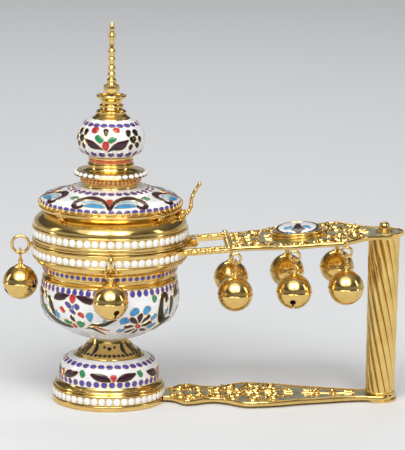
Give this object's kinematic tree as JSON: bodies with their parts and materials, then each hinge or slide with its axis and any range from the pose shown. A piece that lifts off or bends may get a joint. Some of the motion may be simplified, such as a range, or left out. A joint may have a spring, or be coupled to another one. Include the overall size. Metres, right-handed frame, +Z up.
{
  "type": "hand censer",
  "caption": "Footed incense bowl with a hinged lid, carried by two leaf-shaped plates and an upright fluted grip, with small round bells hung on rings.",
  "frame": {"origin": "centre of the foot's underside, on the surface that the censer stands on", "axes": "+Z up along the axis of foot, bowl and lid; +X from the bowl to the grip; +Y away from the side with the near bells"},
  "size_m": [0.2531, 0.1352, 0.2406],
  "materials": {
    "gilt_metal": "polished gilding over chased and cast brass",
    "white_enamel": "glossy white enamel with coloured cells between gold wires",
    "red_enamel": "glossy red enamel",
    "pearl_enamel": "glossy white enamel beads",
    "steel": "plain turned steel"
  },
  "bodies": {
    "stand": {"foot_base_plate": "gilt_metal", "foot_rim": "gilt_metal", "foot_pearl_band": "pearl_enamel", "foot_dome": "white_enamel", "foot_neck": "gilt_metal", "stem_bolt": "steel", "stem_nut": "steel", "bowl": "white_enamel", "bowl_collar": "gilt_metal", "bowl_rim_ring": "gilt_metal", "bowl_pearl_band": "pearl_enamel", "coal_pan": "steel", "hinge_pin": "steel", "upper_handle_plate": "gilt_metal", "medallion_bezel": "gilt_metal", "medallion": "white_enamel", "lower_handle_plate": "gilt_metal", "handle_post": "gilt_metal", "post_foot_nut": "gilt_metal", "tie_rod": "steel", "ball_nut": "gilt_metal", "eye_inner_near": "gilt_metal", "eye_inner_far": "gilt_metal", "eye_middle_near": "gilt_metal", "eye_middle_far": "gilt_metal", "eye_outer_near": "gilt_metal", "eye_outer_far": "gilt_metal", "eye_bowl_left": "gilt_metal", "eye_bowl_front": "gilt_metal", "eye_bowl_back": "gilt_metal"},
    "lid": {"lid_shell": "gilt_metal", "lid_pearl_band": "pearl_enamel", "lid_disc_rim": "gilt_metal", "lid_disc": "white_enamel", "thumb_lever": "gilt_metal", "pearl_collar": "gilt_metal", "red_drum": "red_enamel", "knob": "white_enamel", "knob_cap": "gilt_metal", "spire": "gilt_metal", "lid_bolt": "steel"},
    "hung_inner_near": {"bell_inner_near": "gilt_metal", "pellet_inner_near": "steel"},
    "hung_inner_far": {"bell_inner_far": "gilt_metal", "pellet_inner_far": "steel"},
    "hung_middle_near": {"bell_middle_near": "gilt_metal", "pellet_middle_near": "steel"},
    "hung_middle_far": {"bell_middle_far": "gilt_metal", "pellet_middle_far": "steel"},
    "hung_outer_near": {"bell_outer_near": "gilt_metal", "pellet_outer_near": "steel"},
    "hung_outer_far": {"bell_outer_far": "gilt_metal", "pellet_outer_far": "steel"},
    "hung_bowl_left": {"bell_bowl_left": "gilt_metal", "pellet_bowl_left": "steel"},
    "hung_bowl_front": {"bell_bowl_front": "gilt_metal", "pellet_bowl_front": "steel"},
    "hung_bowl_back": {"bell_bowl_back": "gilt_metal", "pellet_bowl_back": "steel"}
  },
  "joints": [
    {"name": "lid_hinge", "type": "hinge", "parent": "stand", "child": "lid", "pos_m": [0.0525, 0, 0.10225], "axis": [0, 1, 0], "range_deg": [0, 75]},
    {"name": "swing_inner_near", "type": "hinge", "parent": "stand", "child": "hung_inner_near", "pos_m": [0.07794, -0.0248, 0.09317], "axis": [1, 0, 0], "range_deg": [-70, 70]},
    {"name": "swing_inner_far", "type": "hinge", "parent": "stand", "child": "hung_inner_far", "pos_m": [0.07794, 0.0248, 0.09317], "axis": [1, 0, 0], "range_deg": [-70, 70]},
    {"name": "swing_middle_near", "type": "hinge", "parent": "stand", "child": "hung_middle_near", "pos_m": [0.11425, -0.0311, 0.09634], "axis": [1, 0, 0], "range_deg": [-70, 70]},
    {"name": "swing_middle_far", "type": "hinge", "parent": "stand", "child": "hung_middle_far", "pos_m": [0.11425, 0.0311, 0.09634], "axis": [1, 0, 0], "range_deg": [-70, 70]},
    {"name": "swing_outer_near", "type": "hinge", "parent": "stand", "child": "hung_outer_near", "pos_m": [0.14646, -0.03141, 0.09913], "axis": [1, 0, 0], "range_deg": [-70, 70]},
    {"name": "swing_outer_far", "type": "hinge", "parent": "stand", "child": "hung_outer_far", "pos_m": [0.14646, 0.03141, 0.09913], "axis": [1, 0, 0], "range_deg": [-70, 70]},
    {"name": "swing_bowl_left", "type": "hinge", "parent": "stand", "child": "hung_bowl_left", "pos_m": [-0.0563, 0, 0.09415], "axis": [1, 0, 0], "range_deg": [-60, 60]},
    {"name": "swing_bowl_front", "type": "hinge", "parent": "stand", "child": "hung_bowl_front", "pos_m": [0, -0.0563, 0.09415], "axis": [0, 1, 0], "range_deg": [-60, 60]},
    {"name": "swing_bowl_back", "type": "hinge", "parent": "stand", "child": "hung_bowl_back", "pos_m": [0, 0.0563, 0.09415], "axis": [0, 1, 0], "range_deg": [-60, 60]}
  ]
}
